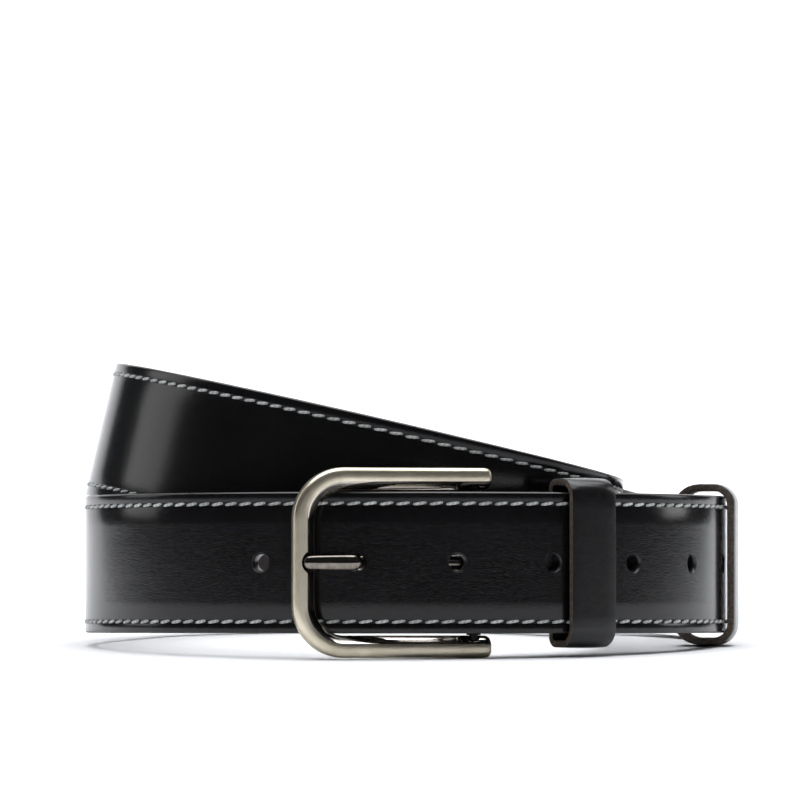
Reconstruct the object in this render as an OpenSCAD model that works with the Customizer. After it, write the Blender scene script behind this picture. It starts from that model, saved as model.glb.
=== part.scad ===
// Gentleman's 35 mm dress belt, buckled and coiled into a standing double loop.
// Millimetres. The coil's own axis is vertical at the coil centre, -Y is the front with the
// buckle, and the strap's lower edge is at height 0 before the coil is stood on its buckle.
// A turn angle counts anticlockwise from +X seen from above, from the heel bar to the tip.

/* [Strap] */
// Width of the strap
strap_w = 35; // [30:0.5:40]
// Thickness of the face leather
face_t = 1.9; // [1.5:0.1:2.3]
// Thickness of the lining leather
lining_t = 1.6; // [1.2:0.1:2]
// Distance from the last hole to the end of the tip
tip_l = 85; // [70:1:110]
// Length of the rounded end of the tip
tip_round_l = 22; // [14:1:26]

/* [Holes] */
// Number of punched holes
hole_count = 7; // [5:1:7]
// The hole that the prong is in, counted from the buckle side
used_hole = 2; // [1:1:3]
// Distance between holes
hole_pitch = 25; // [20:0.5:26]
// Radius of each hole
hole_r = 2.25; // [2.1:0.05:2.75]

/* [Seams] */
// Distance from the strap's edge to the middle of the seam
seam_in = 2.9; // [2.5:0.1:4]
// Width of the thread
thread_w = 0.8; // [0.6:0.05:1]
// Depth of the stitching groove
groove_d = 0.5; // [0.3:0.05:0.6]

/* [Coil] */
// Radius of the outer face of the tail
coil_r = 83; // [76:1:100]
// Turn angle of the heel bar
heel_a = -77; // [-80:1:-74]
// Sideways roll of the raised turn
roll = 13.2; // [12:0.1:14]
// Gap between layers of the strap
layer_gap = 0.3; // [0.3:0.05:0.6]

/* [Buckle] */
// Outer height of the buckle frame
frame_h = 47; // [46.5:0.5:54]
// Length from the heel bar's axis to the outside of the front bar
frame_l = 46; // [44:0.5:50]
// Width of the frame's bars, seen from the front
frame_bar_w = 5.5; // [4.5:0.1:5.6]
// Depth of the frame's bars, front to back
frame_bar_d = 4.2; // [3.6:0.1:4.6]
// Outer radius of the frame's corners
frame_corner_r = 13; // [10:0.5:16]
// Radius of the heel bar
heel_r = 1.8; // [1.6:0.05:2.1]
// Radius of the heel bar's ends, set in the frame
spigot_r = 1.1; // [0.8:0.05:1.2]
// Width of the prong
prong_w = 4; // [3:0.1:4.6]
// Thickness of the prong
prong_t = 2.5; // [2:0.1:2.8]
// Distance from the heel bar's axis to the hole that the prong is in
prong_reach = 29.5; // [28:0.1:31]

/* [Keepers] */
// Thickness of the keeper leather
keeper_t = 1.8; // [1.5:0.05:1.9]
// Width of both keepers
keeper_w = 12.8; // [10:0.2:15]
// Turn angle of the fixed keeper's middle
fixed_keeper_a = -56.6; // [-59:0.1:-55]
// Turn angle of the loose keeper's middle
loose_keeper_a = -8; // [-12:0.5:-6]

/* [Hidden] */
$fn = 64;

// Strap section
strap_t = face_t + lining_t;
half_w = strap_w / 2;
seam_y = half_w - seam_in;
groove_w = thread_w + 0.2;
thread_clearance = 0.04;
main_r = coil_r - strap_t - layer_gap;

// Heel bar, and the face leather folded round it
running_clearance = 0.08;
fold_clearance = 0.1;
fold_r = heel_r + fold_clearance + face_t;
heel_axis_r = main_r - fold_r;
chape_r = heel_axis_r - fold_r;
chape_end_a = -36;
chape_in_a = fixed_keeper_a + 8;
chape_flat_a = -42;
chape_rise = main_r - strap_t - chape_r - face_t - 0.1;
heel = heel_axis_r * [cos(heel_a), sin(heel_a)];

// The frame's front bar clears the tail that passes behind it
bar_clearance = 0.9;
bar_mid_l = frame_l - frame_bar_w / 2;
bar_standoff = norm([frame_bar_w, frame_bar_d]) / 2;
bar_mid_r = coil_r + bar_clearance + bar_standoff;
bar_mid_a = heel_a - angle_between(heel_axis_r, bar_mid_r, bar_mid_l);
bar_mid = bar_mid_r * [cos(bar_mid_a), sin(bar_mid_a)];
buckle_a = atan2(bar_mid[1] - heel[1], bar_mid[0] - heel[0]);

// Holes and tip along the tail's arc
used_hole_a = 720 + heel_a - angle_between(heel_axis_r, coil_r - strap_t / 2, prong_reach);
tip_straight_l = 38;
last_hole_a = hole_angle(hole_count);
tail_end_a = last_hole_a + (tip_l - tip_straight_l) / coil_r * 180 / PI;
tip_flat_l = tip_straight_l - tip_round_l;

// Route of the strap: how far its outer face lies inside the tail's arc at each turn angle,
// and how much it has left the level to join the raised, rolled turn (0 level, 1 raised)
ROUTE = [[16, strap_t + layer_gap], [98, 10.5], [152, 2.6], [238, 14.2], [290, 14.2],
    [362, 30], [452, 18], [512, 7.5], [556, 0]];
RAISED = [[12, 0], [60, 1], [318, 1], [410, 0]];
rest_gap = 0.4;
crossing_in = 5.2;
raised_h = strap_w + rest_gap + half_w * cos(roll) - tan(roll) * (coil_r - crossing_in);
station_step = 4;
station_n = ceil((tail_end_a - heel_a) / station_step);
lining_first = 1;

// Standing: the coil leans back on its rear edge, with the buckle's lower arm on the ground
arm_end_l = 3.4;
overhang = (frame_h - strap_w) / 2;
rear_y = coil_r - ROUTE[6][1];
lean = atan(overhang / (rear_y + heel_axis_r - frame_bar_d / 2 - arm_end_l * 0.4));
front_reach = coil_r + 2.7;
rear_reach = coil_r - ROUTE[1][1] + 50 * sin(lean);
shift_y = (front_reach - rear_reach) / 2;
shift_x = -1.5;

// Angle at the coil's centre between two points at radii a and b that are c apart
function angle_between(a, b, c) = acos((a * a + b * b - c * c) / (2 * a * b));
function hole_angle(i) = used_hole_a + (i - used_hole) * hole_pitch / coil_r * 180 / PI;

// Smooth step with no slope or bend at its ends, and a chain of such steps through knots
function ease(t) = let (u = max(0, min(1, t))) u * u * u * (10 - 15 * u + 6 * u * u);
function chain(knots, a, i = 0) = i == len(knots) - 1 ? knots[0][1]
    : (knots[i + 1][1] - knots[i][1]) * ease((a - knots[i][0]) / (knots[i + 1][0] - knots[i][0]))
    + chain(knots, a, i + 1);

// The strap's outer face, middle line, and the frame of directions there:
// point, direction along the strap, direction across it (upwards), direction out of its face
function raised(a) = chain(RAISED, a);
function route_point(a) = let (r = coil_r - chain(ROUTE, a), x = r * cos(a), b = raised(a))
    [x, r * sin(a), half_w * (1 - b) + b * (raised_h - tan(roll) * x)];
function unit(v) = v / norm(v);
function station(a) = let (
    along = unit(route_point(a + 0.5) - route_point(a - 0.5)),
    up = [sin(roll * raised(a)), 0, cos(roll * raised(a))],
    across = unit(up - (up * along) * along))
    [route_point(a), along, across, cross(along, across)];
function station_a(i) = heel_a + (tail_end_a - heel_a) * i / station_n;
function main_stations(first) = [for (i = [first : station_n]) station(station_a(i))];

// Past the tail's arc the strap runs straight, and its grooves end there: the tip has its own
function tip_station(l) = let (s = station(tail_end_a)) [s[0] + s[1] * l, s[1], s[2], s[3], true];
function leather_stations(first) =
    concat(main_stations(first), [tip_station(0.4), tip_station(tip_straight_l + 1)]);

// The folded end: its finished side faces the coil's centre, then turns round the heel bar
function chape_face_r(a) =
    chape_r + chape_rise * ease((a - chape_in_a) / (chape_flat_a - chape_in_a));
function chape_station(a) = [[chape_face_r(a) * cos(a), chape_face_r(a) * sin(a), half_w],
    [sin(a), -cos(a), 0], [0, 0, 1], [-cos(a), -sin(a), 0]];
function fold_station(a) = [[heel[0] + fold_r * cos(a), heel[1] + fold_r * sin(a), half_w],
    [-sin(a), cos(a), 0], [0, 0, 1], [cos(a), sin(a), 0]];
function folded_stations() = concat(
    [for (a = [chape_end_a : -3 : heel_a + 1]) chape_station(a)],
    [for (a = [heel_a + 180 : 15 : heel_a + 345]) fold_station(a)]);

// One ring of a swept section: each section point is [distance across, depth below the face].
// Where a station says so, the section's two grooves are filled
function filled(section) = [for (i = [0 : len(section) - 1]) let (p = section[i])
    i % 4 < 2 || i > 7 ? p : [(3 * p[0] + section[i == 2 || i == 6 ? i + 1 : i - 1][0]) / 4,
        section[0][1]]];
function ring(s, section) =
    [for (p = s[4] ? filled(section) : section) s[0] + s[2] * p[0] - s[3] * p[1]];

// Sweeps a section through stations; cap lists the convex faces that close the section. The
// lining crosses its quads the other way, so that it meets the face leather triangle on triangle
module sweep(stations, section, cap, crossed = false) {
    n = len(section);
    m = len(stations);
    polyhedron(
        points = [for (s = stations) each ring(s, section)],
        faces = concat([for (c = cap) [for (j = [len(c) - 1 : -1 : 0]) c[j]]],
            [for (i = [0 : m - 2]) for (j = [0 : n - 1]) let (k = (j + 1) % n)
                each crossed
                    ? [[i * n + j, i * n + k, i * n + n + k],
                        [i * n + j, i * n + n + k, i * n + n + j]]
                    : [[i * n + j, i * n + k, i * n + n + j],
                        [i * n + k, i * n + n + k, i * n + n + j]]],
            [for (c = cap) [for (j = c) (m - 1) * n + j]]));
}

// Section of one layer between two depths, grooved on the side that shows
function grooved(flat_d, back_d, cut_d) = let (g = groove_w / 2, y = seam_y)
    [[-half_w, flat_d], [-y - g, flat_d], [-y - g, cut_d], [-y + g, cut_d], [-y + g, flat_d],
    [y - g, flat_d], [y - g, cut_d], [y + g, cut_d], [y + g, flat_d], [half_w, flat_d],
    [half_w, back_d], [-half_w, back_d]];
face_section = grooved(0, face_t, groove_d);
lining_section = [for (p = grooved(strap_t, face_t, strap_t - groove_d)) [-p[0], p[1]]];
grooved_cap = [[11, 0, 1], [11, 1, 2], [11, 2, 3], [11, 3, 6], [3, 4, 5], [3, 5, 6],
    [11, 6, 7], [11, 7, 10], [7, 8, 9], [7, 9, 10]];
thread_cap = [[0, 1, 2, 3]];
function thread_section(y, near_d, far_d) = [[y - thread_w / 2, near_d],
    [y + thread_w / 2, near_d], [y + thread_w / 2, far_d], [y - thread_w / 2, far_d]];

// Places children at the end of the tail's arc: +X on along the tip, +Y across, +Z out of it
module at_tip() {
    rotate([0, 0, tail_end_a])
        translate([coil_r, 0, half_w])
            rotate([90, 0, 90])
                children();
}

// Outline of the tip, and of anything a fixed distance inside it
function tip_outline(inset, start = 0) = let (w = half_w - inset, l = tip_round_l - inset)
    concat([[start, -w]], [for (a = [-90 : 7.5 : 90]) [tip_flat_l + l * cos(a), w * sin(a)]],
    [[start, w]]);
module tip_band(width, near_d, far_d, start = 0) {
    translate([0, 0, -far_d])
        linear_extrude(far_d - near_d)
            difference() {
                polygon(tip_outline(seam_in - width / 2, start));
                polygon(tip_outline(seam_in + width / 2, start));
            }
}

// What the rounded end leaves of the straight strap is cut away
trim_over = 0.3;
module tip_trim() {
    translate([0, 0, -strap_t - 1])
        linear_extrude(strap_t + 2)
            difference() {
                translate([tip_flat_l, -half_w - 2])
                    square([tip_round_l + 4, strap_w + 4]);
                translate([-trim_over, 0])
                    polygon(tip_outline(-trim_over));
            }
}

module punched_holes() {
    for (i = [1 : hole_count])
        rotate([0, 0, hole_angle(i)])
            translate([coil_r - strap_t / 2, 0, half_w])
                rotate([0, 90, 0])
                    cylinder(h = strap_t + 0.5, r = hole_r, center = true);
}

// Places children on the buckle: the heel bar's axis is Z, +X towards the front bar, +Y out
module at_buckle() {
    translate([heel[0], heel[1], half_w])
        rotate([0, 0, buckle_a])
            children();
}

// The slot in the fold that the prong's eye turns in
slot_w = prong_w + 1.8;
slot_l = 5.5;
module prong_slot() {
    intersection() {
        at_buckle()
            cube([2 * slot_l, 2 * slot_l, slot_w], center = true);
        cylinder(h = 2 * strap_w, r = main_r + layer_gap / 2);
    }
}

// Upright rows of stitches that close the chape, just past the fixed keeper
chape_row_a = -39;
chape_row_h = strap_w - 4 * seam_in;
chape_inner_r = chape_r + chape_rise;
module chape_row(radius, width, depth) {
    row_a = width / radius * 180 / PI;
    rotate([0, 0, chape_row_a - row_a / 2])
        translate([0, 0, half_w - chape_row_h / 2])
            rotate_extrude(angle = row_a)
                translate([radius, 0])
                    square([depth, chape_row_h]);
}
module chape_grooves() {
    chape_row(chape_inner_r - 0.3, groove_w, groove_d + 0.3);
    chape_row(main_r - groove_d, groove_w, groove_d + layer_gap / 2);
}

module strap_face() {
    color("#1c1c1d")
        difference() {
            sweep(concat(folded_stations(), leather_stations(0)), face_section, grooved_cap);
            at_tip() {
                tip_trim();
                tip_band(groove_w + 0.1, -1, groove_d + 0.02, start = -1);
            }
            punched_holes();
            prong_slot();
            chape_grooves();
        }
}

module strap_lining() {
    color("#2a2522")
        difference() {
            sweep(leather_stations(lining_first), lining_section, grooved_cap, crossed = true);
            at_tip() {
                tip_trim();
                tip_band(groove_w + 0.1, strap_t - groove_d - 0.02, strap_t + 1, start = -1);
            }
            punched_holes();
        }
}

// Needle thread on the face, flush in its groove
module seam_thread(side) {
    color("#b9bcbd")
        sweep(main_stations(lining_first),
            thread_section(side * seam_y, thread_clearance, groove_d - thread_clearance), thread_cap);
}
module seam_thread_tip() {
    color("#b9bcbd")
        at_tip()
            tip_band(thread_w, thread_clearance, groove_d - thread_clearance);
}

// Bobbin thread on the lining, from where the chape ends
chape_stations = ceil((chape_end_a - heel_a) / station_step) + 1;
module bobbin_thread(side) {
    color("#6f7273")
        sweep(main_stations(chape_stations), thread_section(side * seam_y,
            strap_t - groove_d + thread_clearance, strap_t - thread_clearance), thread_cap);
}
module bobbin_thread_tip() {
    color("#6f7273")
        at_tip()
            tip_band(thread_w, strap_t - groove_d + thread_clearance,
                strap_t - thread_clearance);
}
module chape_thread() {
    color("#b9bcbd") {
        chape_row(chape_inner_r + thread_clearance, thread_w, groove_d - 3 * thread_clearance);
        chape_row(main_r - groove_d + thread_clearance, thread_w,
            groove_d - 3 * thread_clearance);
    }
}

// Section of the frame's bar: 0 is its inner edge, with a polished bevel there on the front,
// and a rounder one on the back that clears the edges of the tail
bevel_w = 2;
bevel_d = 1.6;
back_r = 1.9;
edge_r = 0.7;
bar_section = let (w = frame_bar_w, d = frame_bar_d / 2) [
    [0, -d + back_r], [back_r * 0.35, -d + back_r * 0.35], [back_r, -d],
    [w - edge_r, -d], [w - edge_r * 0.3, -d + edge_r * 0.3], [w, -d + edge_r],
    [w, d - 1.3], [w - 0.4, d - 0.5], [w - 1.3, d],
    [bevel_w, d - 0.05], [bevel_w * 0.6, d - bevel_d * 0.3], [0, d - bevel_d]];
corner_x = frame_l - frame_corner_r;
corner_z = frame_h / 2 - frame_corner_r;
opening_z = frame_h / 2 - frame_bar_w;
spigot_l = frame_bar_w - 2;

// A straight bar whose section stands on its start face, running along +Z
module frame_arm() {
    translate([-arm_end_l, 0, opening_z])
        rotate([90, 0, 90])
            linear_extrude(corner_x + arm_end_l)
                polygon([for (p = bar_section) [p[1], p[0]]]);
}
module frame_corner() {
    translate([corner_x, 0, corner_z])
        rotate([90, 0, 180])
            rotate_extrude(angle = -90, start = 180)
                polygon([for (p = bar_section) [frame_corner_r - frame_bar_w + p[0], p[1]]]);
}
module frame_half() {
    frame_arm();
    frame_corner();
}
module front_bar() {
    translate([frame_l - frame_bar_w, 0, -corner_z])
        linear_extrude(2 * corner_z)
            polygon(bar_section);
}

// The prong rests in a shallow seat in the front bar
seat_d = 0.8;
seat_w = prong_w + 1;
seat_l = 3.6;
module prong_seat() {
    translate([frame_l - frame_bar_w - 1, frame_bar_d / 2 - seat_d, -seat_w / 2])
        cube([seat_l + 1, seat_d + 1, seat_w]);
}

module buckle_frame() {
    color("#b8b09f")
        at_buckle()
            difference() {
                union() {
                    frame_half();
                    mirror([0, 0, 1])
                        frame_half();
                    front_bar();
                }
                prong_seat();
                cylinder(h = 2 * (opening_z + spigot_l), r = spigot_r, center = true);
            }
}

heel_end_gap = 0.1;
module heel_bar() {
    color("#8f8a80")
        at_buckle() {
            cylinder(h = 2 * (opening_z - heel_end_gap), r = heel_r, center = true);
            cylinder(h = 2 * (opening_z + spigot_l), r = spigot_r, center = true);
        }
}

// Prong: an eye on the heel bar, a shank behind the tail, a round neck that passes through
// the hole on an arc about the heel bar, and a finger that lies on the front bar
eye_t = 1.4;
eye_r = heel_r + running_clearance + eye_t;
neck_r = 1.2;
neck_reach = prong_reach + 0.1;
shank_drop = 6.4;
finger_seat_gap = 0.1;
finger_start = neck_r;
finger_l = frame_l - frame_bar_w + seat_l - 0.6;
finger_y0 = 3.2;
finger_y1 = frame_bar_d / 2 - seat_d + finger_seat_gap;
neck_low_a = -asin(shank_drop / prong_reach);
neck_high_a = asin((finger_y0 + prong_t / 2) / prong_reach);
module prong_shank() {
    translate([0, 0, -prong_w / 2])
        linear_extrude(prong_w)
            polygon([[0, -eye_r], [prong_reach, -shank_drop - prong_t / 2],
                [prong_reach + neck_r, -shank_drop - prong_t / 4],
                [prong_reach + neck_r, -shank_drop + prong_t / 4],
                [prong_reach, -shank_drop + prong_t / 2], [eye_r * 0.8, -eye_r * 0.25]]);
}
module prong_neck() {
    rotate([0, 0, neck_low_a])
        rotate_extrude(angle = neck_high_a - neck_low_a)
            translate([neck_reach, 0])
                circle(r = neck_r, $fn = 32);
}
module prong_finger() {
    translate([0, 0, -prong_w / 2])
        linear_extrude(prong_w)
            polygon([[prong_reach - finger_start, finger_y0],
                [finger_l, finger_y1], [finger_l + 0.5, finger_y1 + prong_t * 0.4],
                [finger_l - 0.4, finger_y1 + prong_t * 0.85],
                [finger_l - 2, finger_y1 + prong_t],
                [prong_reach - finger_start + 1, finger_y0 + prong_t],
                [prong_reach - finger_start, finger_y0 + prong_t * 0.7]]);
}
module prong() {
    color("#7d786f")
        at_buckle()
            difference() {
                union() {
                    cylinder(h = prong_w + 1, r = eye_r, center = true);
                    prong_shank();
                    prong_neck();
                    prong_finger();
                }
                cylinder(h = prong_w + 2, r = heel_r + running_clearance, center = true);
            }
}

// A keeper is a band bent into a rounded loop; its outline is drawn as radius and height
function corner(x, z, r, from_a) =
    [for (a = [from_a : 11.25 : from_a + 90]) [x + r * cos(a), z + r * sin(a)]];
function loop_outline(r0, r1, h, in_r, out_r) = concat(
    corner(r1 - out_r, h - out_r, out_r, 0), corner(r0 + in_r, h - in_r, in_r, 90),
    corner(r0 + in_r, -h + in_r, in_r, 180), corner(r1 - out_r, -h + out_r, out_r, 270));
module keeper_band(middle_a, r0, r1, h, in_r, out_r) {
    band_a = keeper_w / coil_r * 180 / PI;
    rotate([0, 0, middle_a - band_a / 2])
        translate([0, 0, half_w])
            rotate_extrude(angle = band_a, $fn = 96)
                difference() {
                    polygon(loop_outline(r0 - keeper_t, r1 + keeper_t, h + keeper_t,
                        in_r + keeper_t, out_r + keeper_t));
                    polygon(loop_outline(r0, r1, h, in_r, out_r));
                }
}

// Sewn between strap and chape, so its inner leg lies in the gap that the heel bar leaves
fixed_gap = 0.9;
fixed_rise = 1.7;
module fixed_keeper() {
    color("#242323")
        keeper_band(fixed_keeper_a, main_r - strap_t - 0.2, coil_r + fixed_gap,
            half_w + fixed_rise, 1.2, 3.2);
}

// Slides along both layers of strap; its butted ends are stapled on the inside of the coil
loose_gap = 1.1;
loose_slack = 4;
loose_rise = 1.2;
loose_r0 = main_r - strap_t - loose_slack;
butt_gap = 0.3;
staple_l = 8;
staple_d = 0.7;
staple_leg = keeper_t + 0.7;
module at_loose_back() {
    rotate([0, 0, loose_keeper_a])
        translate([loose_r0, 0, half_w])
            children();
}
module keeper_staple() {
    color("#9a9a98")
        at_loose_back() {
            translate([-keeper_t - staple_d, -staple_d / 2, -staple_l / 2])
                cube([staple_d, staple_d, staple_l]);
            for (side = [-1, 1])
                translate([-keeper_t - staple_d / 2, -staple_d / 2,
                    side * (staple_l - staple_d) / 2 - staple_d / 2])
                    cube([staple_leg + staple_d / 2, staple_d, staple_d]);
        }
}
module loose_keeper() {
    color("#242323")
        difference() {
            keeper_band(loose_keeper_a, loose_r0, coil_r + loose_gap, half_w + loose_rise, 5, 3.6);
            at_loose_back() {
                cube([3 * keeper_t, 2 * keeper_w, butt_gap], center = true);
                for (side = [-1, 1])
                    translate([-keeper_t - 1, -staple_d / 2,
                        side * (staple_l - staple_d) / 2 - staple_d / 2])
                        cube([keeper_t + 2, staple_d, staple_d]);
            }
        }
}

// Stands the coil on its rear edge and the buckle's lower arm, centred on the origin
module stand() {
    translate([shift_x, shift_y, rear_y * sin(lean)])
        rotate([-lean, 0, 0])
            children();
}

stand() strap_face();
stand() strap_lining();
stand() seam_thread(1);  // seam_thread_upper
stand() seam_thread(-1);  // seam_thread_lower
stand() seam_thread_tip();
stand() bobbin_thread(1);  // bobbin_thread_upper
stand() bobbin_thread(-1);  // bobbin_thread_lower
stand() bobbin_thread_tip();
stand() chape_thread();
stand() buckle_frame();
stand() heel_bar();
stand() prong();
stand() fixed_keeper();
stand() loose_keeper();
stand() keeper_staple();
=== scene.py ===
"""Black 35 mm dress belt with a satin nickel prong buckle, buckled and stood on edge in a double loop."""

import math

import bmesh
import bpy
from mathutils import Matrix, Vector


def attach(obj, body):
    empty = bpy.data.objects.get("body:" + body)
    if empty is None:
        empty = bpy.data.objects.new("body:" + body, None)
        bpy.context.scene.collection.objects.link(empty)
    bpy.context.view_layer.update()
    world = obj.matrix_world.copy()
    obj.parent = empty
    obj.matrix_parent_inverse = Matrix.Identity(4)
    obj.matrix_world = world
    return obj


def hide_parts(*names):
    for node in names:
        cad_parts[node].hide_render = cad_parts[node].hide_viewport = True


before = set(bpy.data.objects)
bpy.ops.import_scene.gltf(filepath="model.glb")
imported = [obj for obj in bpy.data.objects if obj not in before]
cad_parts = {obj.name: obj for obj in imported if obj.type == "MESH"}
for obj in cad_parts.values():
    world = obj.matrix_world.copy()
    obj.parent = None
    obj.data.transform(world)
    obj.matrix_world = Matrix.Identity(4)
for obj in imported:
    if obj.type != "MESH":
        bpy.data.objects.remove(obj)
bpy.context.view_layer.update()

MM = 0.001

# ---------------------------------------------------------------- the belt's own measures, in mm
STRAP_W, FACE_T, LINING_T = 35.0, 1.9, 1.6
STRAP_T = FACE_T + LINING_T
HALF_W = STRAP_W / 2
COIL_R, HEEL_A, ROLL, LAYER_GAP = 83.0, -77.0, 13.2, 0.3
MAIN_R = COIL_R - STRAP_T - LAYER_GAP
HOLE_COUNT, USED_HOLE, HOLE_PITCH = 7, 2, 25.0
TIP_L, TIP_ROUND_L, TIP_STRAIGHT_L = 85.0, 22.0, 38.0
SEAM_Y = HALF_W - 2.9
STITCH_PITCH = 4.1

HEEL_R, FOLD_R = 1.8, 3.8
HEEL_AXIS_R = MAIN_R - FOLD_R
FRAME_H, FRAME_L, BAR_W, BAR_D, CORNER_R = 47.0, 46.0, 5.5, 4.2, 13.0
ARM_END_L, NOSE_L = 3.4, 1.0
OPENING_Z = FRAME_H / 2 - BAR_W
PRONG_REACH = 29.5
KEEPER_T, KEEPER_W = 1.8, 12.8
FIXED_KEEPER_A, LOOSE_KEEPER_A = -56.6, -8.0

ROUTE = [(16, STRAP_T + LAYER_GAP), (98, 10.5), (152, 2.6), (238, 14.2), (290, 14.2),
         (362, 30), (452, 18), (512, 7.5), (556, 0)]
RAISED = [(12, 0), (60, 1), (318, 1), (410, 0)]
REST_GAP, CROSSING_IN = 0.4, 5.2


def angle_between(a, b, c):
    """Angle at the coil's centre between points at radii a and b that are c apart."""
    return math.degrees(math.acos((a * a + b * b - c * c) / (2 * a * b)))


def polar(r, a):
    return Vector((r * math.cos(math.radians(a)), r * math.sin(math.radians(a)), 0))


HEEL = polar(HEEL_AXIS_R, HEEL_A)
BAR_MID_R = COIL_R + 0.9 + math.hypot(BAR_W, BAR_D) / 2
BAR_MID = polar(BAR_MID_R, HEEL_A - angle_between(HEEL_AXIS_R, BAR_MID_R, FRAME_L - BAR_W / 2))
BUCKLE_A = math.degrees(math.atan2(BAR_MID.y - HEEL.y, BAR_MID.x - HEEL.x))
USED_HOLE_A = 720 + HEEL_A - angle_between(HEEL_AXIS_R, COIL_R - STRAP_T / 2, PRONG_REACH)
HOLE_STEP_A = math.degrees(HOLE_PITCH / COIL_R)
LAST_HOLE_A = USED_HOLE_A + (HOLE_COUNT - USED_HOLE) * HOLE_STEP_A
TAIL_END_A = LAST_HOLE_A + math.degrees((TIP_L - TIP_STRAIGHT_L) / COIL_R)
TIP_FLAT_L = TIP_STRAIGHT_L - TIP_ROUND_L

REAR_Y = COIL_R - 18
LEAN = math.atan((FRAME_H - STRAP_W) / 2 / (REAR_Y + HEEL_AXIS_R - BAR_D / 2 - ARM_END_L * 0.4))
SHIFT_Y = (COIL_R + 2.7 - (COIL_R - 10.5 + 50 * math.sin(LEAN))) / 2
STANDING = (Matrix.Scale(MM, 4) @ Matrix.Translation((-1.5, SHIFT_Y, REAR_Y * math.sin(LEAN)))
            @ Matrix.Rotation(-LEAN, 4, "X"))
BUCKLE = (STANDING @ Matrix.Translation(HEEL + Vector((0, 0, HALF_W)))
          @ Matrix.Rotation(math.radians(BUCKLE_A), 4, "Z"))
RAISED_H = (STRAP_W + REST_GAP + HALF_W * math.cos(math.radians(ROLL))
            - math.tan(math.radians(ROLL)) * (COIL_R - CROSSING_IN))

# ---------------------------------------------------------------- the strap's route


def ease(t):
    u = max(0.0, min(1.0, t))
    return u * u * u * (10 - 15 * u + 6 * u * u)


def chain(knots, a):
    value = knots[0][1]
    for (a0, v0), (a1, v1) in zip(knots, knots[1:]):
        value += (v1 - v0) * ease((a - a0) / (a1 - a0))
    return value


def route_point(a):
    p = polar(COIL_R - chain(ROUTE, a), a)
    b = chain(RAISED, a)
    p.z = HALF_W * (1 - b) + b * (RAISED_H - math.tan(math.radians(ROLL)) * p.x)
    return p


def station(a):
    """Point on the outer face's middle line, and the directions along, across and out of the strap."""
    along = (route_point(a + 0.5) - route_point(a - 0.5)).normalized()
    lean = math.radians(ROLL) * chain(RAISED, a)
    up = Vector((math.sin(lean), 0, math.cos(lean)))
    across = (up - up.dot(along) * along).normalized()
    return route_point(a), along, across, along.cross(across)


def chape_station(a):
    r = HEEL_AXIS_R - FOLD_R + 2.1 * ease((a - FIXED_KEEPER_A - 8) / (-42 - FIXED_KEEPER_A - 8))
    p = polar(r, a)
    p.z = HALF_W
    return p, polar(1, a - 90), Vector((0, 0, 1)), polar(-1, a)


def fold_station(a):
    p = HEEL + polar(FOLD_R, a)
    p.z = HALF_W
    return p, polar(1, a + 90), Vector((0, 0, 1)), polar(1, a)


def steps(start, stop, step):
    n = max(1, round(abs(stop - start) / step))
    return [start + (stop - start) * i / n for i in range(n + 1)]


def straight_on(s, length):
    return s[0] + s[1] * length, s[1], s[2], s[3]


CHAPE = [chape_station(a) for a in steps(-36, HEEL_A + 1, 1.5)]
FOLD = [fold_station(a) for a in steps(HEEL_A + 180, HEEL_A + 351, 9)]
MAIN = [station(a) for a in steps(HEEL_A, TAIL_END_A, 1)]
TIP = [straight_on(MAIN[-1], x) for x in steps(4, TIP_FLAT_L, 4)]


def at(s, w, depth):
    """A point of a station: w across the strap and depth below its outer face, in the row frame."""
    return STANDING @ (s[0] + s[2] * w - s[3] * depth)


# ---------------------------------------------------------------- mesh helpers


def sweep(bm, rings, along=None, across=None, slots=None):
    """Draws the first ring, then extrudes it on through the others. across and slots are per side."""
    uv = bm.loops.layers.uv.verify()
    n = len(rings[0])
    verts = [bm.verts.new(p) for p in rings[0]]
    edges = [bm.edges.new((verts[i], verts[(i + 1) % n])) for i in range(n)]
    first = verts
    for k in range(1, len(rings)):
        made = {g for g in bmesh.ops.extrude_edge_only(bm, edges=edges)["geom"]
                if isinstance(g, bmesh.types.BMVert)}
        after = [next(e.other_vert(v) for e in v.link_edges if e.other_vert(v) in made)
                 for v in verts]
        for v, p in zip(after, rings[k]):
            v.co = p
        for i in range(n):
            j = (i + 1) % n
            face = bm.faces.get((verts[i], verts[j], after[j], after[i]))
            face.smooth = True
            if slots:
                face.material_index = slots[i]
            if along:
                for loop in face.loops:
                    old = loop.vert in (verts[i], verts[j])
                    side = i if loop.vert in (verts[i], after[i]) else j
                    loop[uv].uv = (along[k - 1] if old else along[k], across[side])
        edges = [bm.edges.get((after[i], after[(i + 1) % n])) for i in range(n)]
        verts = after
    return first, verts


def cap(bm, verts, slot=0):
    bm.faces.new(verts).material_index = slot


def finish_mesh(bm, name, materials, body, nodes=(), sharp=38):
    """Makes the piece: faces outwards, smooth but for sharp edges, riding its body."""
    bmesh.ops.recalc_face_normals(bm, faces=bm.faces)
    mesh = bpy.data.meshes.new(name)
    bm.to_mesh(mesh)
    bm.free()
    for m in materials:
        mesh.materials.append(m)
    mesh.polygons.foreach_set("use_smooth", [True] * len(mesh.polygons))
    mesh.set_sharp_from_angle(angle=math.radians(sharp))
    piece = bpy.data.objects.new(name, mesh)
    bpy.context.scene.collection.objects.link(piece)
    if body:
        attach(piece, body)
        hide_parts(*nodes)
    return piece


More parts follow.
